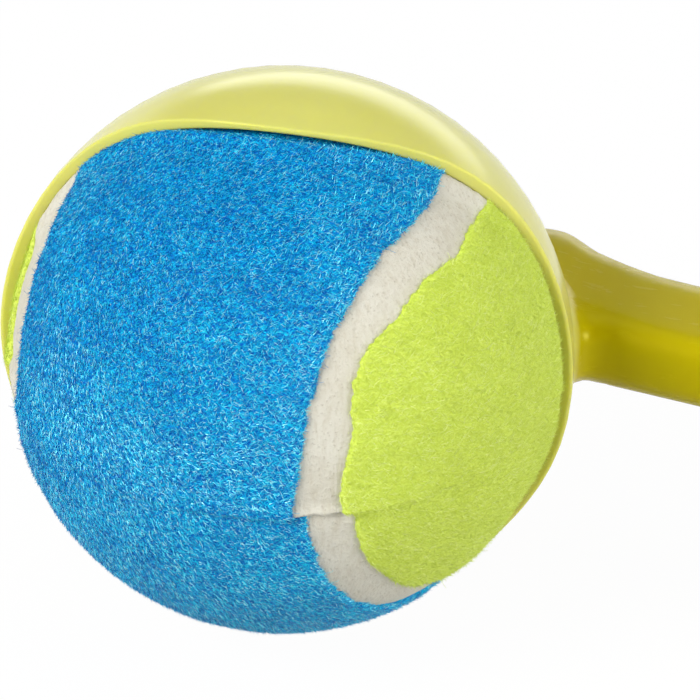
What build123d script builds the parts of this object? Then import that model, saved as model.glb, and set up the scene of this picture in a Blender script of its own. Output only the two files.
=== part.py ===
from build123d import *
import os
from math import acos, asin, atan2, cos, degrees, hypot, pi, radians, sin, sqrt

# Tennis ball launcher: a one-piece moulded throwing arm with a cup, and the ball that sits in it.
# Origin at the centre of the ball seat, +X along the arm, +Z up, the cup's mouth faces -Y.
# It lies on its side, on the flank of the cup and the butt of the handle. Millimetres and degrees.

# Ball
BALL_DIA = 65.0
FELT_THICK = 2.7
CORE_WALL = 3.3
CEMENT_THICK = 0.4
CORE_JOINT_TILT = 3.9
GLUE_LINE = 0.08

# Seam between the two felt panels: four round arcs that meet at the waist points
SEAM_WIDTH = 5.2
SEAM_BAND_THICK = 2.2
SEAM_EDGE_GAP = 0.08
SEAM_LOBE_TILT = -2.9
SEAM_TURN = (100.4, -22.8, 96.8)

# Cup
SEAT_CLEARANCE = 0.3
CUP_WALL = 1.6
CUP_LIP = 2.2
RIM_SIDE_REACH = 3.4
RIM_WAVE = 2.2
RIM_ROUND_SHARE = 0.45

# Arm centreline: where it leaves the cup, how it heads off, and how it bows
NECK_BACK_ANGLE = 35.0
NECK_HEADING = -12.0
BUTT_HEADING = -4.0
NECK_SUNK = 26.0

# Neck, shaft and handle, with depth across the swing and thickness along the mould's draw
NECK_LENGTH = 17.0
NECK_FLARE_BACK = 5.0
NECK_FLARE_THICK = 4.0
NECK_ROUND_SHARE = 0.9
NECK_FILLET = 3.0
SHAFT_LENGTH = 290.0
SHAFT_DEPTH_AT_NECK = 16.5
SHAFT_DEPTH_AT_HANDLE = 20.0
SHAFT_THICK_AT_NECK = 8.6
SHAFT_THICK_AT_HANDLE = 12.0
SHAFT_EDGE_ROUND = 2.0
FLANGE_WIDTH = 2.7
WEB_THICK = 3.2
POCKET_INSET = 6.0
POCKET_CORNER_ROUND = 3.5
SHOULDER_LENGTH = 26.0
HANDLE_DEPTH = 28.0
HANDLE_THICK = 20.0
HANDLE_EDGE_ROUND = 7.0
FINGER_COUNT = 4
FINGER_PITCH = 21.0
FINGER_HOLLOW = 2.4
BUTT_LENGTH = 24.0
BUTT_ROUND = 9.0

# Hole to hang the launcher on a hook
HANG_HOLE_DIA = 8.0
HANG_HOLE_INSET = 15.0

# Stations that each stretch of the arm is lofted through
NECK_STATIONS = 5
RIM_STATIONS = 12
SHAFT_STATIONS = 6
SHOULDER_STATIONS = 4
STATIONS_PER_FINGER = 4
BUTT_STATIONS = 4

BALL_R = BALL_DIA / 2
CORE_R = BALL_R - FELT_THICK
SEAT_R = BALL_R + SEAT_CLEARANCE
CUP_R = SEAT_R + CUP_WALL
LIP_REACH = CUP_LIP + RIM_SIDE_REACH + RIM_WAVE
LIP_THICK = sqrt(CUP_R ** 2 - LIP_REACH ** 2) - SEAT_R
RIM_ROUND = RIM_ROUND_SHARE * LIP_THICK
MATCH = 0.02

NECK_END = NECK_SUNK + NECK_LENGTH
SHAFT_END = NECK_END + SHAFT_LENGTH
GRIP_START = SHAFT_END + SHOULDER_LENGTH
GRIP_END = GRIP_START + FINGER_COUNT * FINGER_PITCH
ARM_LENGTH = GRIP_END + BUTT_LENGTH


# Ball pieces

def hollow_ball(outer_r, inner_r):
    return Sphere(outer_r) - Sphere(inner_r)


def seam_lobes():
    """Axis of each round arc of the seam, and the way its middle lies from that axis."""
    across = cos(radians(SEAM_LOBE_TILT))
    along = sin(radians(SEAM_LOBE_TILT))
    axes = [(across, 0, along), (-across, 0, along), (0, across, -along), (0, -across, -along)]
    poles = [(0, 0, -1), (0, 0, -1), (0, 0, 1), (0, 0, 1)]
    return [(Vector(*axis), Vector(*pole)) for axis, pole in zip(axes, poles)]


def seam_ring(width):
    """Closed strip of constant width along the seam's path, standing through the ball's skin."""
    arc_angle = degrees(acos(cos(radians(SEAM_LOBE_TILT)) / sqrt(2)))
    height = 4 * FELT_THICK
    profile = Rot(0, 0, arc_angle) * Pos(BALL_R, 0) * Rectangle(height, width)
    arcs = []
    for axis, pole in seam_lobes():
        middle = (pole - axis * axis.dot(pole)).normalized()
        side = axis.cross(middle)
        joint = (axis + Vector(axis.Y, axis.X, -axis.Z)).normalized()
        half_turn = abs(degrees(atan2(joint.dot(side), joint.dot(middle))))
        start = middle * cos(radians(half_turn)) - side * sin(radians(half_turn))
        plane = Plane(origin=(0, 0, 0), x_dir=axis, z_dir=axis.cross(start))
        arcs.append(revolve(plane * profile, axis=Axis((0, 0, 0), axis), revolution_arc=2 * half_turn))
    return arcs[0].fuse(*arcs[1:])


def felt_panels():
    """The two dumbbell panels, left when the seam's path is cut out of the felt."""
    felt = hollow_ball(BALL_R, CORE_R + GLUE_LINE)
    felt -= seam_ring(SEAM_WIDTH)
    lime, blue = felt.solids().sort_by(Axis.Z)
    turn = Rotation(*SEAM_TURN)
    return turn * blue, turn * lime


def seam_band():
    """The rubbery filler in the seam, lower than the felt on each side."""
    skin = hollow_ball(CORE_R + SEAM_BAND_THICK, CORE_R + GLUE_LINE)
    return Rotation(*SEAM_TURN) * (skin & seam_ring(SEAM_WIDTH - 2 * SEAM_EDGE_GAP))


def core_pieces():
    """Two moulded rubber half shells and the cement line that joins them."""
    core = hollow_ball(CORE_R, CORE_R - CORE_WALL)
    upper_face = Plane.XY.offset(CEMENT_THICK / 2)
    lower_face = Plane.XY.offset(-CEMENT_THICK / 2)
    upper = split(core, upper_face, keep=Keep.TOP)
    lower = split(core, lower_face, keep=Keep.BOTTOM)
    cement = split(split(core, upper_face, keep=Keep.BOTTOM), lower_face, keep=Keep.TOP)
    return [Rot(CORE_JOINT_TILT, 0, 0) * piece for piece in (upper, lower, cement)]


# Throwing arm, in its own frame with the mould's parting plane at Z 0

def ease(share):
    return share * share * (3 - 2 * share)


def spread_stations(start, end, count):
    return [start + (end - start) * i / count for i in range(count)]


def centreline(run):
    """Point and heading of the arm's bowed centreline, run millimetres from its sunk end."""
    first = radians(NECK_HEADING)
    bend = (radians(BUTT_HEADING) - first) / ARM_LENGTH
    exit_x = CUP_R * cos(radians(NECK_BACK_ANGLE))
    exit_y = CUP_R * sin(radians(NECK_BACK_ANGLE))
    heading = first + bend * run
    if abs(bend) < 1e-9:
        along = (run * cos(first), run * sin(first))
    else:
        along = ((sin(heading) - sin(first)) / bend, (cos(first) - cos(heading)) / bend)
    x = exit_x - NECK_SUNK * cos(first) + along[0]
    y = exit_y - NECK_SUNK * sin(first) + along[1]
    return Vector(x, y, 0), heading


def cross_plane(run):
    """Plane across the arm, its x the way the back of the arm faces."""
    point, heading = centreline(run)
    tangent = Vector(cos(heading), sin(heading), 0)
    return Plane(origin=point, x_dir=Vector(-sin(heading), cos(heading), 0), z_dir=tangent)


def shaft_size(run):
    share = (run - NECK_END) / SHAFT_LENGTH
    depth = SHAFT_DEPTH_AT_NECK + (SHAFT_DEPTH_AT_HANDLE - SHAFT_DEPTH_AT_NECK) * share
    thick = SHAFT_THICK_AT_NECK + (SHAFT_THICK_AT_HANDLE - SHAFT_THICK_AT_NECK) * share
    return depth, thick


def neck_section(run):
    """The round neck swells where it leaves the cup, and fades out as a spine on the cup's back."""
    if run < NECK_SUNK:
        flare = ease(run / NECK_SUNK)
        roundness = 1
    else:
        flare = ((NECK_END - run) / NECK_LENGTH) ** 2
        roundness = ease((NECK_END - run) / NECK_LENGTH)
    depth = SHAFT_DEPTH_AT_NECK + NECK_FLARE_BACK * flare
    thick = SHAFT_THICK_AT_NECK + NECK_FLARE_THICK * flare
    edge_round = SHAFT_EDGE_ROUND + (NECK_ROUND_SHARE * thick / 2 - SHAFT_EDGE_ROUND) * roundness
    return depth, thick, edge_round, NECK_FLARE_BACK * flare / 2


def shaft_section(run):
    depth, thick = shaft_size(run)
    return depth, thick, SHAFT_EDGE_ROUND, 0


def shoulder_section(run):
    share = ease((run - SHAFT_END) / SHOULDER_LENGTH)
    depth = SHAFT_DEPTH_AT_HANDLE + (HANDLE_DEPTH - SHAFT_DEPTH_AT_HANDLE) * share
    thick = SHAFT_THICK_AT_HANDLE + (HANDLE_THICK - SHAFT_THICK_AT_HANDLE) * share
    return depth, thick, SHAFT_EDGE_ROUND + (HANDLE_EDGE_ROUND - SHAFT_EDGE_ROUND) * share, 0


def grip_section(run):
    """Finger hollows draw in the front of the grip, and its back stays smooth."""
    hollow = FINGER_HOLLOW * (1 - cos(2 * pi * (run - GRIP_START) / FINGER_PITCH)) / 2
    return HANDLE_DEPTH - hollow, HANDLE_THICK, HANDLE_EDGE_ROUND, hollow / 2


def butt_section(run):
    """The end of the handle rounds over in a quarter ellipse."""
    past = max(0, run - (ARM_LENGTH - BUTT_ROUND)) / BUTT_ROUND
    draw_in = BUTT_ROUND * (1 - sqrt(1 - past * past))
    depth = HANDLE_DEPTH - draw_in
    return depth, HANDLE_THICK - draw_in, HANDLE_EDGE_ROUND - draw_in / 2, 0


def arm_sections():
    """Rounded sections from inside the cup's wall to the butt of the handle."""
    stretches = [
        (neck_section, spread_stations(0, NECK_SUNK, NECK_STATIONS)),
        (neck_section, spread_stations(NECK_SUNK, NECK_END, NECK_STATIONS)),
        (shaft_section, spread_stations(NECK_END, SHAFT_END, SHAFT_STATIONS)),
        (shoulder_section, spread_stations(SHAFT_END, GRIP_START, SHOULDER_STATIONS)),
        (grip_section, spread_stations(GRIP_START, GRIP_END, FINGER_COUNT * STATIONS_PER_FINGER)),
        (butt_section, [GRIP_END, ARM_LENGTH - BUTT_ROUND]),
    ]
    rounding = [ARM_LENGTH - BUTT_ROUND * (1 - sin(radians(80) * (i + 1) / BUTT_STATIONS))
                for i in range(BUTT_STATIONS)]
    stretches.append((butt_section, rounding))
    sections = []
    for section, stations in stretches:
        for run in stations:
            depth, thick, edge_round, shift = section(run)
            outline = Pos(shift, 0) * RectangleRounded(depth, thick, edge_round)
            sections.append(cross_plane(run) * outline)
    return sections


def pocket_edge(side):
    """Long edge of the shaft's recess, a flange's width in from the back (1) or front (-1)."""
    points = []
    start = NECK_END + POCKET_INSET
    for run in (start, (start + SHAFT_END) / 2, SHAFT_END):
        depth, thick = shaft_size(run)
        plane = cross_plane(run)
        points.append(plane.origin + plane.x_dir * side * (depth / 2 - FLANGE_WIDTH))
    return ThreePointArc(*points)


def shaft_pocket():
    """Recess on the upper face of the shaft that leaves a web between two flanges."""
    back = pocket_edge(1)
    front = pocket_edge(-1)
    outline = make_face([back, Line(back @ 1, front @ 1), front, Line(front @ 0, back @ 0)])
    outline = fillet(outline.vertices(), POCKET_CORNER_ROUND)
    return extrude(Pos(0, 0, WEB_THICK / 2) * outline, SHAFT_THICK_AT_HANDLE, dir=(0, 0, 1))


def seat_space():
    """Room for the ball, with a straight way out through the mouth."""
    way_out = Cylinder(SEAT_R, BALL_DIA, align=(Align.CENTER, Align.CENTER, Align.MIN))
    return Sphere(SEAT_R) + Rot(90, 0, 0) * way_out


def rim_side_view():
    """Wavy rim seen from the side: low at the diagonals, forward at the cup's two flanks."""
    points = []
    for i in range(RIM_STATIONS + 1):
        turn = pi * i / RIM_STATIONS
        forward = CUP_LIP - RIM_SIDE_REACH * cos(2 * turn) + RIM_WAVE * cos(4 * turn)
        points.append((CUP_R * cos(turn), -forward))
    return Spline(*points)


def cup_block():
    """The cup before it is hollowed: a ball cut along its wavy rim."""
    rim = rim_side_view()
    first, last = rim @ 0, rim @ 1
    beyond = CUP_R + CUP_WALL
    back = Polyline(last, (-beyond, last.Y), (-beyond, beyond), (beyond, beyond), (beyond, first.Y), first)
    side_view = Pos(0, 0, -beyond) * make_face([rim, *back.edges()])
    return (Rot(0, 0, 180) * Rot(90, 0, 0) * Sphere(CUP_R)) & extrude(side_view, 2 * beyond)


def neck_edges(moulding):
    """Edges where the neck runs out of the cup's outer face."""
    def on_cup(edge):
        return all(abs((edge @ share).length - CUP_R) < MATCH for share in (0, 0.25, 0.5, 0.75, 1))
    behind_rim = moulding.edges().filter_by(lambda edge: (edge @ 0.5).Y > RIM_ROUND and (edge @ 0.5).X > 0)
    return behind_rim.filter_by(on_cup)


def rim_edges(moulding):
    """Inner and outer edges of the wavy face round the mouth."""
    return [edge for face in moulding.faces().filter_by(GeomType.EXTRUSION) for edge in face.edges()]


def resting_tilt():
    """Turn about Y that brings the butt of the handle down to the level of the cup's flank."""
    butt, heading = centreline(ARM_LENGTH - BUTT_ROUND)
    reach = hypot(butt.X, HANDLE_THICK / 2)
    return degrees(asin(CUP_R / reach) - atan2(HANDLE_THICK / 2, butt.X))


def hang_hole():
    point, heading = centreline(ARM_LENGTH - HANG_HOLE_INSET)
    return Pos(point) * Cylinder(HANG_HOLE_DIA / 2, HANDLE_THICK * 2)


def launcher_arm():
    """The whole moulding: cup, neck, shaft, handle and hang hole."""
    moulding = cup_block() + loft(arm_sections())
    moulding = fillet(neck_edges(moulding), NECK_FILLET) - seat_space()
    moulding = fillet(rim_edges(moulding), RIM_ROUND)
    pocket = shaft_pocket()
    moulding = moulding - pocket - mirror(pocket, about=Plane.XY) - hang_hole()
    return Rot(0, resting_tilt(), 0) * moulding


def main():
    os.makedirs("parts", exist_ok=True)
    core_upper, core_lower, cement = core_pieces()
    blue, lime = felt_panels()
    nodes = {
        "launcher_arm": launcher_arm(),
        "core_half_upper": core_upper,
        "core_half_lower": core_lower,
        "core_cement_ring": cement,
        "felt_panel_blue": blue,
        "felt_panel_lime": lime,
        "seam_band": seam_band(),
    }
    for name, shape in nodes.items():
        export_step(shape, f"parts/{name}.step")
        print(name, len(shape.solids()), round(shape.volume, 1), shape.bounding_box())
    hole, heading = centreline(ARM_LENGTH - HANG_HOLE_INSET)
    tilt = radians(resting_tilt())
    print("resting tilt", degrees(tilt))
    print("hang hole centre", hole.X * cos(tilt), hole.Y, -hole.X * sin(tilt))
    print("hang hole axis", sin(tilt), 0, cos(tilt))


main()
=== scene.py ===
from math import acos, atan2, cos, radians, sin, sqrt

import bmesh
import bpy
import numpy as np
from mathutils import Matrix, Vector, noise


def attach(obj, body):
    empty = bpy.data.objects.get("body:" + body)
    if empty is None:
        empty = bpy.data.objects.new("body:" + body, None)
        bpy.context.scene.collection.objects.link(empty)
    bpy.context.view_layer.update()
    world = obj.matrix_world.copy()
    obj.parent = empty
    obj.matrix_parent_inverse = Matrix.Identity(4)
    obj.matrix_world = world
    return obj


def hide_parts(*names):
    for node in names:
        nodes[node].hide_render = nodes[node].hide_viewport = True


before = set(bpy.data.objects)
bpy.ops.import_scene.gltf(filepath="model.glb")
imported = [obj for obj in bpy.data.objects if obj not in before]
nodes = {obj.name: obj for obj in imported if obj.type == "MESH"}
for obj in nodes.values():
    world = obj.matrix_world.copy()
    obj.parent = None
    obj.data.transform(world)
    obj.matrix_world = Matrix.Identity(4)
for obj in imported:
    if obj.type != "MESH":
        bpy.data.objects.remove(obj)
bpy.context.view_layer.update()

# Plain sizes are millimetres, and times MM they are the scene's metres
MM = 0.001

# Ball, as in the CAD: seam of four round arcs, and the plane of the core's moulded joint
SEAM_LOBE_TILT = -2.9
SEAM_TURN = (100.4, -22.8, 96.8)
SEAM_WIDTH = 5.2
CORE_JOINT_TILT = 3.9

# Skin of the ball: radius of the seam band, of the felt, and of the felt's edge sunk behind the band,
# the width over which that edge is rounded, and how far the band reaches to each side
BAND_R = 32.0
FELT_R = 32.55
FELT_SUNK_R = 31.4
FELT_SHOULDER = 0.6
BAND_REACH = 9.0

# The seam's arcs are eased into each other over this share of the ball's radius
SEAM_EASE = 0.16

# Seam band: steps of its mesh along one arc and across, its waves (height and wavelength), how deep and
# over what width its edges turn in, the reach of the crease's ridge, and its share of the swell at the rim
BAND_STEPS_ALONG = 260
BAND_STEPS_ACROSS = 42
BAND_WAVES = [(0.06, 3.0), (0.03, 0.9)]
BAND_SEED = 1
BAND_EDGE_SUNK = 0.9
BAND_EDGE_WIDTH = 0.5
BAND_RIDGE_REACH = 0.9
BAND_SWELL_SHARE = 0.88

# Felt: how often the round mesh that it is cut from is divided, waves of its cut edge (reach and
# wavelength) and how far from the edge they count, the wave of its face, and the crease's ridge in it
BALL_DIVISIONS = 8
EDGE_WAVES = [(0.3, 5.0), (0.16, 1.6), (0.14, 0.6)]
EDGE_WAVES_WITHIN = 4
FELT_WAVE_HEIGHT = 0.05
FELT_WAVE_LENGTH = 4.0
FELT_RIDGE_REACH = 2.4
FELT_RIDGE_FADE = 12

# Where the panels were laid a little off their line: panel, place, how much further it reaches there,
# and over what radius
LAID_OFF = [
    ("blue", (16.6, -13.5, 24.0), 0.5, 9.0),
    ("lime", (21.0, -13.7, 20.2), -0.9, 7.0),
    ("lime", (13.3, -26.0, 13.5), 1.5, 5.0),
    ("lime", (-30.0, -8.5, 2.0), -6.0, 14.0),
    ("blue", (-29.5, -12.5, -5.0), 2.5, 8.0),
]

# At the core's joint the half above is laid a step to the blue side of the half below, and stands over it
JOINT_DROP = 0.45
JOINT_STEP = 1.2
JOINT_STEP_FADE = 6.0
JOINT_STEP_BELOW = JOINT_STEP / 4
JOINT_STEP_BELOW_FADE = JOINT_STEP_FADE / 2
JOINT_RIDGE = 0.5
JOINT_GROOVE = 0.25

# Rim of the cup, as in the CAD, and the tilt at which the arm lies on the floor
CUP_LIP = 2.2
RIM_SIDE_REACH = 3.4
RIM_WAVE = 2.2
ARM_TILT = radians(3.07)

# Where the skin swells out against the rim: the radius that it fills and the most that it rises, and its
# middle, its reach to the front and its reach to the back, measured ahead of the rim
RIM_FILLED_R = 33.2
RIM_SWELL_MOST = 0.9
RIM_SWELL_AHEAD = 0.4
RIM_SWELL_FRONT = 1.6
RIM_SWELL_BACK = 0.5

# Shares of the ball's radius: the left flank has no swell below this height, it comes in over this fade,
# and no part of the rim stands further forward than this
RIM_BARE_UNDER = 0.33
RIM_BARE_FADE = 0.15
RIM_FURTHEST = 0.5

# The matted fibres lie two ways, turned from level
FELT_LAY = (radians(28), radians(-40))

# The nap is combed sideways, each fibre strays from that by up to this angle, and its length varies
# between these shares. In front of the rim the nap comes to its full count over this distance
NAP_STRAY = radians(75)
NAP_LENGTH_SHARES = (0.5, 1.5)
NAP_FREE_OVER = 1.2

# Layers of fibre: fibres to the square metre, and the lean from upright, in degrees from and to
NAP_FLAT_DENSITY = 10.2e6
NAP_FLAT_LEAN = (74, 88)
NAP_UP_DENSITY = 14.5e6
NAP_UP_LEAN = (50, 80)
HAIR_DENSITY = 0.3e6
HAIR_LEAN = (80, 89)

# Loose hairs: size, steps in a full turn, turns along a hair, and the radius of the curl at its two ends
HAIR_LENGTH = 1.3
HAIR_WIDTH = 0.02
HAIR_STEPS = 10
HAIR_TURNS = 0.7
HAIR_CURL_START = 0.3
HAIR_CURL_END = 0.15

# Sides of a fibre, and fixed seeds for the heading, lean, length and tone of each
FIBRE_SIDES = 3
HEADING_SEED = 11
LEAN_SEED = 12
LENGTH_SEED = 13
TONE_SEED = 14

# Felt colours, 0 to 255: ground from dark to light, fibres by tone, and the tint of their glints. The palest
# fibre tones are painted glints
# The ground's dark end is partly painted shade between the tufts, and its light end partly painted sheen on
# their tops
BLUE_GROUND_AND_PAINTED_SHADING = ((0, 94, 184), (0, 156, 218), (26, 222, 248))
BLUE_FIBRE_AND_PAINTED_GLINTS = [
    (0.0, (0, 84, 176)),
    (0.4, (0, 152, 216)),
    (0.66, (0, 208, 242)),
    (0.84, (90, 238, 252)),
    (1.0, (185, 251, 254)),
]
BLUE_GLINT = (0.35, 1, 1, 1)
LIME_GROUND_AND_PAINTED_SHADING = ((206, 223, 82), (218, 235, 104), (228, 244, 122))
LIME_FIBRE_AND_PAINTED_GLINTS = [
    (0.0, (206, 222, 86)),
    (0.5, (217, 234, 104)),
    (0.85, (227, 243, 124)),
    (1.0, (246, 254, 190)),
]
LIME_GLINT = (1, 1, 0.6, 1)

# Plastic, by distance from the ball's centre: where the thin wall ends and the solid arm starts, and from
# where to where the arm's edges come to be shaded round. The mesh keeps its edges
THIN_WALL_END = 34.45
SOLID_START = 35.5
SOFT_EDGE_START = 36.2
SOFT_EDGE_FULL = 39
ARM_SOFT_EDGE = 4
SOFT_EDGE_SAMPLES = 8

# View: degrees round and above the ball, metres away, lens and sensor, and the shift in pixels
VIEW_TURN = 10.0
VIEW_RISE = 29.0
VIEW_DISTANCE = 0.42
VIEW_LENS = 182.2
VIEW_SENSOR = 36
VIEW_SHIFT = (66.2, 6.0)
PICTURE_WIDTH = 700
NEAREST_SEEN = 0.01

# Floor, just below the cup's flank: its size in metres, its grey as light and to the eye, and the share
# of its own glow in what the eye sees
FLOOR_Z = -34.45
FLOOR_SIZE = 6
FLOOR_GREY_AS_LIGHT = 0.52
FLOOR_GREY_SEEN = 0.95
FLOOR_GLOW = 0.97

# Room: strength of its light, and how bright it is in mirrored light from low down to high up
ROOM_LIGHT = 0.34
ROOM_LOW = 0.12
ROOM_HIGH = 0.36
ROOM_LOW_LIGHT = 1.0
ROOM_HIGH_LIGHT = 0.1

# Lamps: name, place and size in metres, and watts
LAMPS = [
    ("key", (-0.78, -0.8, 0.76), (0.7, 0.7), 16.5),
    ("fill", (1.1, -0.35, 0.32), (0.6, 0.5), 7.8),
    ("overhead", (0.1, 0.2, 1.2), (0.9, 0.9), 2),
    ("low_behind", (0.04, 0.8, 0.16), (0.75, 0.25), 0.85),
]

# Noise over the skin: how far a seed moves it, and its strength
NOISE_SHIFT = (17.3, -9.1, 5.7)
NOISE_GAIN = 1.6

# Some nodes have sockets for each kind of value, here the first, the second and the result
MIX_SOCKETS = {"FLOAT": (2, 3, 0), "VECTOR": (4, 5, 1), "RGBA": (6, 7, 2)}
RANDOM_FLOAT_SOCKETS = (2, 3, 1)


# Small helpers

def linear(red, green, blue):
    """Display colour, 0 to 255, as the scene's linear colour."""
    def one(v):
        v /= 255
        return v / 12.92 if v <= 0.04045 else ((v + 0.055) / 1.055) ** 2.4
    return one(red), one(green), one(blue), 1.0


def grey(level):
    """A linear grey."""
    return level, level, level, 1


def smooth(x):
    """Runs from 0 to 1 as x does, level at both ends."""
    x = np.clip(x, 0, 1)
    return x * x * (3 - 2 * x)


def wander(points, wavelength, seed):
    """Smooth noise between about -1 and 1 at each point, points in millimetres."""
    shift = Vector([seed * step for step in NOISE_SHIFT])
    return np.array([noise.noise(Vector(p) / wavelength + shift) for p in points]) * NOISE_GAIN


def uneven(level, points, waves, seed):
    """A level with waves laid over it, each with its own height and wavelength."""
    levels = np.full(len(points), float(level))
    for step, (height, wavelength) in enumerate(waves):
        levels += height * wander(points, wavelength, seed + step)
    return levels


def mesh_object(name, vertices, faces, material):
    """A smooth mesh of one material, in the scene."""
    mesh = bpy.data.meshes.new(name)
    mesh.from_pydata([tuple(v) for v in vertices], [], [tuple(int(i) for i in f) for f in faces])
    mesh.update()
    mesh.shade_smooth()
    mesh.materials.append(material)
    obj = bpy.data.objects.new(name, mesh)
    bpy.context.scene.collection.objects.link(obj)
    return obj


# Nodes for any tree

def feed(tree, value, socket):
    """Sets a socket to a plain value, or links it to another node."""
    if isinstance(value, (int, float, tuple)):
        socket.default_value = value
    else:
        tree.links.new(value, socket)


def calculated(tree, operation, first, second):
    """Two numbers taken together."""
    node = tree.nodes.new("ShaderNodeMath")
    node.operation = operation
    feed(tree, first, node.inputs[0])
    feed(tree, second, node.inputs[1])
    return node.outputs["Value"]


def ranged(tree, source, low, high, out_low, out_high):
    """A number between low and high, brought to another range."""
    node = tree.nodes.new("ShaderNodeMapRange")
    limits = {"From Min": low, "From Max": high, "To Min": out_low, "To Max": out_high}
    for name, value in limits.items():
        feed(tree, value, node.inputs[name])
    feed(tree, source, node.inputs["Value"])
    return node.outputs["Result"]


def mixed(tree, kind, share, first, second):
    """Two values of one kind, mixed."""
    node = tree.nodes.new("ShaderNodeMix")
    node.data_type = kind
    first_at, second_at, result_at = MIX_SOCKETS[kind]
    feed(tree, share, node.inputs[0])
    feed(tree, first, node.inputs[first_at])
    feed(tree, second, node.inputs[second_at])
    return node.outputs[result_at]


class Shader:
    """A procedural material built node by node."""

    def __init__(self, name):
        self.material = bpy.data.materials.new(name)
        self.material.use_nodes = True
        self.tree = self.material.node_tree
        self.surface = self.tree.nodes["Principled BSDF"]
        self.place = self.add("ShaderNodeTexCoord").outputs["Object"]

    def add(self, kind, **values):
        node = self.tree.nodes.new(kind)
        for key, value in values.items():
            setattr(node, key, value)
        return node

    def link(self, source, target):
        self.tree.links.new(source, target)

    def noise(self, scale, detail=3.0, roughness=0.5, stretch=None, turn=0.0):
        node = self.add("ShaderNodeTexNoise")
        node.inputs["Scale"].default_value = scale
        node.inputs["Detail"].default_value = detail
        node.inputs["Roughness"].default_value = roughness
        source = self.place
        if stretch:
            mapping = self.add("ShaderNodeMapping", vector_type="TEXTURE")
            mapping.inputs["Scale"].default_value = stretch
            mapping.inputs["Rotation"].default_value = (0, turn, 0)
            self.link(source, mapping.inputs["Vector"])
            source = mapping.outputs["Vector"]
        self.link(source, node.inputs["Vector"])
        return node.outputs["Fac"]

    def ramp(self, source, *stops):
        node = self.add("ShaderNodeValToRGB")
        elements = node.color_ramp.elements
        while len(elements) < len(stops):
            elements.new(0.5)
        for element, (at, colour) in zip(elements, stops):
            element.position = at
            element.color = colour
        self.link(source, node.inputs["Fac"])
        return node.outputs["Color"]

    def calculate(self, operation, first, second):
        return calculated(self.tree, operation, first, second)

    def spread(self, source, low, high, out_low, out_high):
        return ranged(self.tree, source, low, high, out_low, out_high)

    def mix(self, share, first, second, kind="RGBA"):
        return mixed(self.tree, kind, share, first, second)

    def bump(self, source, strength, distance, over=None):
        node = self.add("ShaderNodeBump")
        if over:
            self.link(over, node.inputs["Normal"])
        node.inputs["Strength"].default_value = strength
        node.inputs["Distance"].default_value = distance
        self.link(source, node.inputs["Height"])
        self.link(node.outputs["Normal"], self.surface.inputs["Normal"])

    def set(self, **values):
        for key, value in values.items():
            feed(self.tree, value, self.surface.inputs[key.replace("_", " ")])


# Materials

def launcher_plastic():
    """Glossy dyed plastic: pale where the wall is thin and lets light through, deep in the solid arm."""
    s = Shader("launcher_plastic")
    length = s.add("ShaderNodeVectorMath", operation="LENGTH")
    s.link(s.place, length.inputs[0])
    reach = length.outputs["Value"]
    depth = s.spread(reach, THIN_WALL_END * MM, SOLID_START * MM, 0, 1)
    clouds = s.noise(60, detail=2)
    thin = s.ramp(clouds, (0.3, linear(215, 213, 120)), (0.7, linear(210, 207, 108)))
    solid = s.ramp(clouds, (0.3, linear(189, 174, 0)), (0.7, linear(183, 168, 0)))
    s.set(Base_Color=s.mix(depth, thin, solid))
    scuffs = s.spread(s.noise(900, detail=4, roughness=0.6, stretch=(6.7, 1, 1)), 0.35, 0.7, 0.0, 0.03)
    s.set(Roughness=s.calculate("ADD", scuffs, s.spread(depth, 0, 1, 0.19, 0.25)))
    s.set(IOR=1.45, Specular_IOR_Level=0.35, Specular_Tint=(1, 0.93, 0.15, 1))
    s.set(Subsurface_Weight=0.6, Subsurface_Radius=(1.0, 0.9, 0.15), Subsurface_Scale=2.5 * MM)
    rounded = s.add("ShaderNodeBevel", samples=SOFT_EDGE_SAMPLES)
    rounded.inputs["Radius"].default_value = ARM_SOFT_EDGE * MM
    as_made = s.add("ShaderNodeNewGeometry").outputs["Normal"]
    on_arm = s.spread(reach, SOFT_EDGE_START * MM, SOFT_EDGE_FULL * MM, 0, 1)
    soft = s.mix(on_arm, as_made, rounded.outputs["Normal"], kind="VECTOR")
    s.bump(s.noise(260, detail=2), strength=0.02, distance=0.3 * MM, over=soft)
    return s.material


def felt_ground(name, dark, middle, light, glint):
    """Matted felt below the nap: darker in the lows between the tufts, partly as painted shade, and paler on
    their tops, partly as painted sheen.
    """
    s = Shader(name)
    lays = [s.noise(4200, detail=2, roughness=0.6, stretch=(3.5, 1, 1), turn=turn) for turn in FELT_LAY]
    tufts = s.calculate("MAXIMUM", *lays)
    clumps = s.noise(140, detail=2)
    # Dark in the bump's lows and pale on its tops: the felt's own mottle with painted shade between the
    # tufts and painted sheen on them
    ground = s.ramp(tufts, (0.46, linear(*dark)), (0.58, linear(*middle)), (0.7, linear(*light)))
    s.set(Base_Color=s.mix(s.spread(clumps, 0.35, 0.65, 0.0, 0.35), ground, linear(*dark)))
    s.set(Roughness=s.spread(tufts, 0.4, 0.75, 0.7, 0.5), Specular_IOR_Level=0.25, Specular_Tint=glint)
    s.bump(tufts, strength=0.8, distance=0.15 * MM)
    return s.material


def felt_fibre(name, stops, roughness, shine, glint):
    """Shiny man-made fibres, each with its own tone; the palest tones are painted glints."""
    s = Shader(name)
    tone = s.add("ShaderNodeAttribute", attribute_name="tone").outputs["Fac"]
    clumps = s.noise(160, detail=2)
    # The palest stops of the ramp are painted glints on top of the fibres' own tones
    colour = s.ramp(tone, *[(at, linear(*rgb)) for at, rgb in stops])
    s.set(Base_Color=s.mix(s.spread(clumps, 0.35, 0.7, 0.0, 0.3), colour, linear(*stops[0][1])))
    s.set(Roughness=s.spread(tone, 0, 1, roughness + 0.1, roughness - 0.1), Specular_IOR_Level=shine)
    s.set(Specular_Tint=glint)
    return s.material


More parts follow.
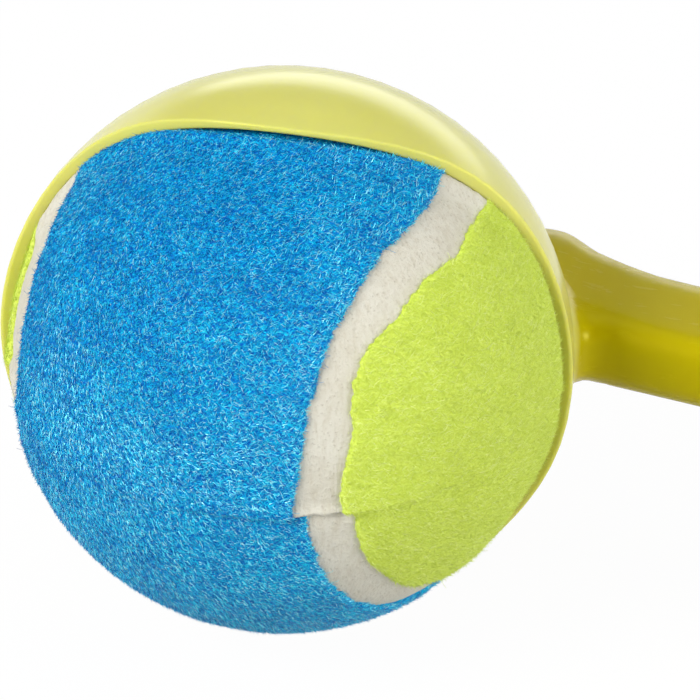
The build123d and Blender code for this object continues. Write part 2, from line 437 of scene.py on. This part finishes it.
def seam_rubber():
    """Off-white brushed seam filler with fine pits."""
    s = Shader("seam_rubber")
    clouds = s.noise(120, detail=3)
    pits = s.noise(2600, detail=2, roughness=0.6)
    strokes = s.noise(1500, detail=3, roughness=0.6, stretch=(1, 1, 4))
    cream = s.ramp(clouds, (0.3, linear(208, 203, 187)), (0.7, linear(216, 213, 199)))
    brushed = s.mix(s.spread(strokes, 0.3, 0.55, 0.5, 0), cream, linear(190, 181, 160))
    s.set(Base_Color=s.mix(s.spread(pits, 0.6, 0.75, 0, 0.6), brushed, linear(158, 148, 128)))
    s.set(Roughness=s.spread(strokes, 0.3, 0.7, 0.6, 0.8))
    s.bump(s.calculate("ADD", pits, strokes), strength=0.8, distance=0.2 * MM)
    return s.material


def inner_rubber(name, dark, light):
    """Plain moulded rubber of the ball's core."""
    s = Shader(name)
    grain = s.noise(700, detail=4)
    s.set(Base_Color=s.ramp(grain, (0.3, linear(*dark)), (0.7, linear(*light))))
    s.set(Roughness=s.spread(grain, 0.3, 0.7, 0.7, 0.9))
    s.bump(grain, strength=0.3, distance=0.1 * MM)
    return s.material


# Seam of the ball

TURN = (Matrix.Rotation(radians(SEAM_TURN[0]), 3, "X") @ Matrix.Rotation(radians(SEAM_TURN[1]), 3, "Y")
        @ Matrix.Rotation(radians(SEAM_TURN[2]), 3, "Z"))
TO_ROW = np.array(TURN)
ARC = acos(cos(radians(SEAM_LOBE_TILT)) / sqrt(2))
ACROSS = cos(radians(SEAM_LOBE_TILT))
ALONG = sin(radians(SEAM_LOBE_TILT))
JOINT_UP = np.array([0, -sin(radians(CORE_JOINT_TILT)), cos(radians(CORE_JOINT_TILT))])


def seam_offset(ways):
    """Millimetres from the seam's middle for unit directions, more than 0 on the blue side."""
    p = ways @ TO_ROW
    to_x = np.arccos(np.clip(np.abs(p[:, 0]) * ACROSS + p[:, 2] * ALONG, -1, 1))
    to_y = np.arccos(np.clip(np.abs(p[:, 1]) * ACROSS - p[:, 2] * ALONG, -1, 1))
    share = smooth(p[:, 2] / SEAM_EASE + 0.5)
    return (share * (to_y - ARC) + (1 - share) * (ARC - to_x)) * BAND_R


def joint_height(ways):
    """Millimetres above the crease that the core's joint leaves in the skin."""
    return ways @ JOINT_UP * BAND_R + JOINT_DROP


def joint_ridge(above, reach):
    """A pinched ridge just above the crease and a hollow just below it."""
    ridge = JOINT_RIDGE * np.exp(-(above / reach) ** 2) * (above > 0)
    hollow = JOINT_GROOVE * np.exp(-(above / reach) ** 2) * (above <= 0)
    return ridge - hollow


def ahead_of_rim(points):
    """Millimetres from the cup's rim towards the free front of the ball."""
    round_mouth = np.arctan2(points[:, 2], points[:, 0]) + ARM_TILT
    rim = -(CUP_LIP - RIM_SIDE_REACH * np.cos(2 * round_mouth) + RIM_WAVE * np.cos(4 * round_mouth))
    return rim - points[:, 1]


def rim_swell(ways, ahead, level):
    """How far the skin swells out to fill the gap where the rim presses beside it, not on the left flank."""
    gap = RIM_FILLED_R / np.sqrt(1 - np.clip(ways[:, 1], -RIM_FURTHEST, 0) ** 2) - level
    rise = np.minimum(gap, RIM_SWELL_MOST + FELT_R - level)
    reach = np.where(ahead > RIM_SWELL_AHEAD, RIM_SWELL_FRONT, RIM_SWELL_BACK)
    pressed = np.where(ways[:, 0] < 0, smooth((ways[:, 2] - RIM_BARE_UNDER) / RIM_BARE_FADE), 1)
    return pressed * rise * np.exp(-((ahead - RIM_SWELL_AHEAD) / reach) ** 2)


def seam_strip(along_count, across_count):
    """Grid over the seam: unit directions, and millimetres from its middle."""
    ways, offsets = [], []
    lobes = [
        ((ACROSS, 0, ALONG), -1),
        ((0, ACROSS, -ALONG), 1),
        ((-ACROSS, 0, ALONG), -1),
        ((0, -ACROSS, -ALONG), 1),
    ]
    for index, (axis, pole) in enumerate(lobes):
        axis = Vector(axis)
        middle = (Vector((0, 0, pole)) - axis * axis.z * pole).normalized()
        side = axis.cross(middle)
        before, after = Vector(lobes[index - 1][0]), Vector(lobes[(index + 1) % len(lobes)][0])
        ends = []
        for other in (before, after):
            joint = (axis + other).normalized()
            ends.append(atan2(joint.dot(side), joint.dot(middle)))
        for i in range(along_count):
            turn = ends[0] + (ends[1] - ends[0]) * i / along_count
            rim = middle * cos(turn) + side * sin(turn)
            for j in range(across_count + 1):
                offset = BAND_REACH * (2 * j / across_count - 1)
                angle = ARC + offset / BAND_R * pole
                ways.append(axis * cos(angle) + rim * sin(angle))
                offsets.append(offset)
    ways = np.array(ways) @ TO_ROW.T
    return ways, np.array(offsets)


def seam_band(material):
    """The band all the way round the seam, with its edges turned in under the felt."""
    ways, offsets = seam_strip(BAND_STEPS_ALONG, BAND_STEPS_ACROSS)
    row = BAND_STEPS_ACROSS + 1
    count = len(ways) // row
    faces = []
    for i in range(count):
        for j in range(BAND_STEPS_ACROSS):
            a, b = i * row + j, ((i + 1) % count) * row + j
            faces.append((a, b, b + 1, a + 1))
    points = ways * BAND_R
    height = uneven(BAND_R, points, BAND_WAVES, BAND_SEED)
    height -= BAND_EDGE_SUNK * smooth((np.abs(offsets) - BAND_REACH + BAND_EDGE_WIDTH) / BAND_EDGE_WIDTH)
    swell = BAND_SWELL_SHARE * rim_swell(ways, ahead_of_rim(points), BAND_R)
    height += joint_ridge(joint_height(ways), BAND_RIDGE_REACH) + swell
    return mesh_object("seam_band_skin", ways * height[:, None] * MM, faces, material)


# Felt

def fine_ball():
    """Unit directions and triangles of a finely divided ball."""
    ball = bmesh.new()
    divisions = BALL_DIVISIONS
    bmesh.ops.create_icosphere(ball, subdivisions=divisions, radius=1)
    ways = np.array([v.co for v in ball.verts])
    faces = np.array([[v.index for v in f.verts] for f in ball.faces])
    ball.free()
    return ways / np.linalg.norm(ways, axis=1)[:, None], faces


def felt_panel(colour, ways, faces, side, seed, material):
    """One panel, rounded over at its ragged edge and sunk behind the seam band there."""
    points = ways * BAND_R
    inside = side * seam_offset(ways) - SEAM_WIDTH / 2
    near = np.abs(inside) < EDGE_WAVES_WITHIN
    inside[near] += uneven(0, points[near], EDGE_WAVES, seed)
    above = joint_height(ways)
    inside -= side * JOINT_STEP * np.exp(-(above / JOINT_STEP_FADE) ** 2) * (above > 0)
    inside += side * JOINT_STEP_BELOW * np.exp(-(above / JOINT_STEP_BELOW_FADE) ** 2) * (above <= 0)
    for panel, place, further, radius in LAID_OFF:
        if panel == colour:
            inside += further * np.exp(-((points - np.array(place)) ** 2).sum(axis=1) / radius ** 2)
    kept = faces[(inside[faces] > 0).any(axis=1)]
    used, faces = np.unique(kept, return_inverse=True)
    faces = faces.reshape(-1, 3)
    ways, points, inside = ways[used], points[used], inside[used]
    share = np.clip(inside / FELT_SHOULDER, 0, 1)
    height = FELT_SUNK_R + (FELT_R - FELT_SUNK_R) * np.sqrt(1 - (1 - share) ** 2)
    height += FELT_WAVE_HEIGHT * wander(points, FELT_WAVE_LENGTH, seed + len(EDGE_WAVES)) * share
    ridge = joint_ridge(joint_height(ways), FELT_RIDGE_REACH)
    height += ridge * share * np.exp(-inside / FELT_RIDGE_FADE)
    ahead = ahead_of_rim(points)
    height += rim_swell(ways, ahead, FELT_R) * share
    panel = mesh_object(f"felt_{colour}", ways * height[:, None] * MM, faces, material)
    free = panel.data.attributes.new("free", "FLOAT", "POINT")
    free.data.foreach_set("value", smooth(ahead / NAP_FREE_OVER).astype(np.float32))
    return panel


def straight_fibre(new, link, given):
    """A stiff fibre, three faces that run to a point."""
    fibre = new("GeometryNodeMeshCone")
    fibre.fill_type = "NONE"
    fibre.inputs["Vertices"].default_value = FIBRE_SIDES
    fibre.inputs["Radius Top"].default_value = 0.0
    link(given["Width"], fibre.inputs["Radius Bottom"])
    link(given["Length"], fibre.inputs["Depth"])
    return fibre.outputs["Mesh"]


def curled_hair(new, link, given):
    """A loose hair that curls as it goes."""
    line = new("GeometryNodeCurveSpiral")
    line.inputs["Resolution"].default_value = HAIR_STEPS
    line.inputs["Rotations"].default_value = HAIR_TURNS
    line.inputs["Start Radius"].default_value = HAIR_CURL_START * MM
    line.inputs["End Radius"].default_value = HAIR_CURL_END * MM
    link(given["Length"], line.inputs["Height"])
    outline = new("GeometryNodeCurvePrimitiveCircle")
    outline.inputs["Resolution"].default_value = FIBRE_SIDES
    link(given["Width"], outline.inputs["Radius"])
    hair = new("GeometryNodeCurveToMesh")
    link(line.outputs["Curve"], hair.inputs["Curve"])
    link(outline.outputs["Curve"], hair.inputs["Profile Curve"])
    return hair.outputs["Mesh"]


def nap_tree(name, shape):
    """Fibres of one shape spread over a surface, each leaning its own way."""
    tree = bpy.data.node_groups.new(name, "GeometryNodeTree")
    face = tree.interface
    face.new_socket("Geometry", in_out="INPUT", socket_type="NodeSocketGeometry")
    for size in ("Density", "Length", "Width", "Lean From", "Lean To", "Covered Share"):
        face.new_socket(size, in_out="INPUT", socket_type="NodeSocketFloat")
    face.new_socket("Seed", in_out="INPUT", socket_type="NodeSocketInt")
    face.new_socket("Fibre", in_out="INPUT", socket_type="NodeSocketMaterial")
    face.new_socket("Geometry", in_out="OUTPUT", socket_type="NodeSocketGeometry")
    new, link = tree.nodes.new, tree.links.new
    given = new("NodeGroupInput").outputs
    result = new("NodeGroupOutput").inputs

    def chance(low, high, seed):
        node = new("FunctionNodeRandomValue")
        low_at, high_at, result_at = RANDOM_FLOAT_SOCKETS
        feed(tree, low, node.inputs[low_at])
        feed(tree, high, node.inputs[high_at])
        node.inputs["Seed"].default_value = seed
        return node.outputs[result_at]

    def turned(rotation, axis, angle):
        angles = new("ShaderNodeCombineXYZ")
        link(angle, angles.inputs[axis])
        as_turn = new("FunctionNodeEulerToRotation")
        link(angles.outputs["Vector"], as_turn.inputs["Euler"])
        node = new("FunctionNodeRotateRotation")
        node.rotation_space = "LOCAL"
        link(rotation, node.inputs["Rotation"])
        link(as_turn.outputs["Rotation"], node.inputs["Rotate By"])
        return node.outputs["Rotation"]

    free = new("GeometryNodeInputNamedAttribute")
    free.data_type = "FLOAT"
    free.inputs["Name"].default_value = "free"
    share = ranged(tree, free.outputs["Attribute"], 0, 1, given["Covered Share"], 1)
    spread = new("GeometryNodeDistributePointsOnFaces")
    link(given["Geometry"], spread.inputs["Mesh"])
    link(calculated(tree, "MULTIPLY", given["Density"], share), spread.inputs["Density"])
    link(given["Seed"], spread.inputs["Seed"])

    combed = new("FunctionNodeAlignRotationToVector")
    combed.axis = "X"
    combed.pivot_axis = "Z"
    combed.inputs["Vector"].default_value = (0, 0, 1)
    link(spread.outputs["Rotation"], combed.inputs["Rotation"])
    heading = turned(combed.outputs["Rotation"], "Z", chance(-NAP_STRAY, NAP_STRAY, HEADING_SEED))
    leaning = turned(heading, "X", chance(given["Lean From"], given["Lean To"], LEAN_SEED))
    size = new("ShaderNodeCombineXYZ")
    size.inputs["X"].default_value = 1.0
    size.inputs["Y"].default_value = 1.0
    link(chance(*NAP_LENGTH_SHARES, LENGTH_SEED), size.inputs["Z"])

    grow = new("GeometryNodeInstanceOnPoints")
    link(spread.outputs["Points"], grow.inputs["Points"])
    link(shape(new, link, given), grow.inputs["Instance"])
    link(leaning, grow.inputs["Rotation"])
    link(size.outputs["Vector"], grow.inputs["Scale"])
    tone = new("GeometryNodeStoreNamedAttribute")
    tone.data_type = "FLOAT"
    tone.domain = "INSTANCE"
    tone.inputs["Name"].default_value = "tone"
    link(grow.outputs["Instances"], tone.inputs["Geometry"])
    link(chance(0.0, 1.0, TONE_SEED), tone.inputs["Value"])
    real = new("GeometryNodeRealizeInstances")
    link(tone.outputs["Geometry"], real.inputs["Geometry"])
    coat = new("GeometryNodeSetMaterial")
    link(real.outputs["Geometry"], coat.inputs["Geometry"])
    link(given["Fibre"], coat.inputs["Material"])
    link(coat.outputs["Geometry"], result["Geometry"])
    return tree


def grow_nap(name, ground, tree, material, **sizes):
    """Fibres on a felt panel, as a mesh of their own."""
    values = {"Fibre": material, **{key.replace("_", " "): value for key, value in sizes.items()}}
    modifier = ground.modifiers.new("nap", "NODES")
    modifier.node_group = tree
    for item in tree.interface.items_tree:
        if item.in_out == "INPUT" and item.name in values:
            modifier[item.identifier] = values[item.name]
    bpy.context.view_layer.update()
    mesh = bpy.data.meshes.new_from_object(ground.evaluated_get(bpy.context.evaluated_depsgraph_get()))
    ground.modifiers.remove(modifier)
    mesh.name = name
    nap = bpy.data.objects.new(name, mesh)
    bpy.context.scene.collection.objects.link(nap)
    return nap


# Stage

def white_floor():
    """White to the eye and in mirrored light, and grey paper to all other light."""
    bpy.ops.mesh.primitive_plane_add(size=FLOOR_SIZE, location=(0, 0, FLOOR_Z * MM))
    floor = bpy.context.object
    floor.name = "floor"
    material = bpy.data.materials.new("floor_white")
    material.use_nodes = True
    tree = material.node_tree
    tree.nodes.clear()
    new, link = tree.nodes.new, tree.links.new
    ray = new("ShaderNodeLightPath").outputs
    seen = calculated(tree, "MAXIMUM", ray["Is Camera Ray"], ray["Is Glossy Ray"])
    paper = new("ShaderNodeBsdfDiffuse")
    tint = mixed(tree, "RGBA", seen, grey(FLOOR_GREY_AS_LIGHT), grey(FLOOR_GREY_SEEN))
    link(tint, paper.inputs["Color"])
    glow = new("ShaderNodeEmission")
    glow.inputs["Color"].default_value = grey(1)
    both = new("ShaderNodeMixShader")
    link(calculated(tree, "MULTIPLY", seen, FLOOR_GLOW), both.inputs["Fac"])
    link(paper.outputs["BSDF"], both.inputs[1])
    link(glow.outputs["Emission"], both.inputs[2])
    out = new("ShaderNodeOutputMaterial")
    link(both.outputs["Shader"], out.inputs["Surface"])
    floor.data.materials.append(material)


def soft_light(name, place, size, power):
    """A round lamp that faces the ball."""
    lamp = bpy.data.lights.new(name, "AREA")
    lamp.shape = "ELLIPSE"
    lamp.size, lamp.size_y = size
    lamp.energy = power
    obj = bpy.data.objects.new(name, lamp)
    obj.location = place
    obj.rotation_euler = (Vector((0, 0, 0)) - Vector(place)).to_track_quat("-Z", "Y").to_euler()
    bpy.context.scene.collection.objects.link(obj)


def studio():
    """White to the eye, and a softer white as light. Mirrored, the room is bright low down and dim above."""
    world = bpy.data.worlds.new("studio")
    world.use_nodes = True
    tree = world.node_tree
    new, link = tree.nodes.new, tree.links.new
    ray = new("ShaderNodeLightPath").outputs
    way = new("ShaderNodeSeparateXYZ")
    link(new("ShaderNodeTexCoord").outputs["Generated"], way.inputs["Vector"])
    mirrored = ranged(tree, way.outputs["Z"], ROOM_LOW, ROOM_HIGH, ROOM_LOW_LIGHT, ROOM_HIGH_LIGHT)
    as_light = mixed(tree, "FLOAT", ray["Is Glossy Ray"], ROOM_LIGHT, mirrored)
    background = tree.nodes["Background"].inputs
    link(mixed(tree, "FLOAT", ray["Is Camera Ray"], as_light, 1.0), background["Strength"])
    background["Color"].default_value = grey(1)
    bpy.context.scene.world = world


def camera():
    """The photo's view."""
    turn, rise = radians(VIEW_TURN), radians(VIEW_RISE)
    towards = Vector((sin(turn) * cos(rise), -cos(turn) * cos(rise), sin(rise)))
    lens = bpy.data.cameras.new("camera")
    lens.lens = VIEW_LENS
    lens.sensor_width = VIEW_SENSOR
    lens.shift_x, lens.shift_y = [shift / PICTURE_WIDTH for shift in VIEW_SHIFT]
    lens.clip_start = NEAREST_SEEN
    eye = bpy.data.objects.new("camera", lens)
    eye.location = towards * VIEW_DISTANCE
    eye.rotation_euler = towards.to_track_quat("Z", "Y").to_euler()
    bpy.context.scene.collection.objects.link(eye)
    bpy.context.scene.camera = eye


# Build

plastic = launcher_plastic()
rubber = inner_rubber("core_rubber", (72, 66, 60), (98, 92, 84))
cement = inner_rubber("core_cement", (176, 160, 128), (200, 186, 154))
coats = {
    "launcher_arm": plastic,
    "core_half_upper": rubber,
    "core_half_lower": rubber,
    "core_cement_ring": cement,
}
for name, material in coats.items():
    nodes[name].data.materials.clear()
    nodes[name].data.materials.append(material)

band = seam_band(seam_rubber())
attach(band, "ball")
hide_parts("seam_band")

ways, faces = fine_ball()
nap = nap_tree("felt_nap", straight_fibre)
hairs = nap_tree("felt_hairs", curled_hair)
# Fibre materials whose palest tones are painted glints
blue_fibre_and_painted_glints = felt_fibre("felt_fibre_blue_painted_glints", BLUE_FIBRE_AND_PAINTED_GLINTS, roughness=0.3, shine=1.0, glint=BLUE_GLINT)
lime_fibre_and_painted_glints = felt_fibre("felt_fibre_lime_painted_glints", LIME_FIBRE_AND_PAINTED_GLINTS, roughness=0.6, shine=0.35, glint=LIME_GLINT)
# Felt grounds with painted shade between the tufts and painted sheen on their tops, over their own mottle
blue_ground_and_painted_shading = felt_ground("felt_ground_blue_painted_shading", *BLUE_GROUND_AND_PAINTED_SHADING, BLUE_GLINT)
lime_ground_and_painted_shading = felt_ground("felt_ground_lime_painted_shading", *LIME_GROUND_AND_PAINTED_SHADING, LIME_GLINT)

# Colour, side of the seam, seed, ground and fibre of each panel, and the width and length of its fibres
panels = [
    ("blue", 1, 20, blue_ground_and_painted_shading, blue_fibre_and_painted_glints, 0.055, 0.6),
    ("lime", -1, 40, lime_ground_and_painted_shading, lime_fibre_and_painted_glints, 0.035, 0.7),
]
full = 1.0
for colour, side, seed, ground, fibre, width, length in panels:
    panel = felt_panel(colour, ways, faces, side, seed, ground)
    # Name, tree, density, length, width and lean of each layer, and its share where the cup covers the ball
    layers = [
        ("nap_flat", nap, NAP_FLAT_DENSITY, length, width, NAP_FLAT_LEAN, 1.0),
        ("nap_up", nap, NAP_UP_DENSITY, length, width, NAP_UP_LEAN, 0.0),
        ("stray", hairs, HAIR_DENSITY, HAIR_LENGTH, HAIR_WIDTH, HAIR_LEAN, 0.0),
    ]
    pieces = [panel]
    for layer, (name, tree, density, long, wide, lean, covered) in enumerate(layers):
        pieces.append(grow_nap(
            f"felt_{colour}_{name}", panel, tree, fibre, Density=density * full,
            Length=long * MM, Width=wide * MM, Lean_From=radians(lean[0]), Lean_To=radians(lean[1]),
            Covered_Share=covered, Seed=seed + layer))
    for piece in pieces:
        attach(piece, "ball")
    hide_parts(f"felt_panel_{colour}")

white_floor()
studio()
for lamp in LAMPS:
    soft_light(*lamp)
camera()
scene = bpy.context.scene
scene.view_settings.view_transform = "Standard"
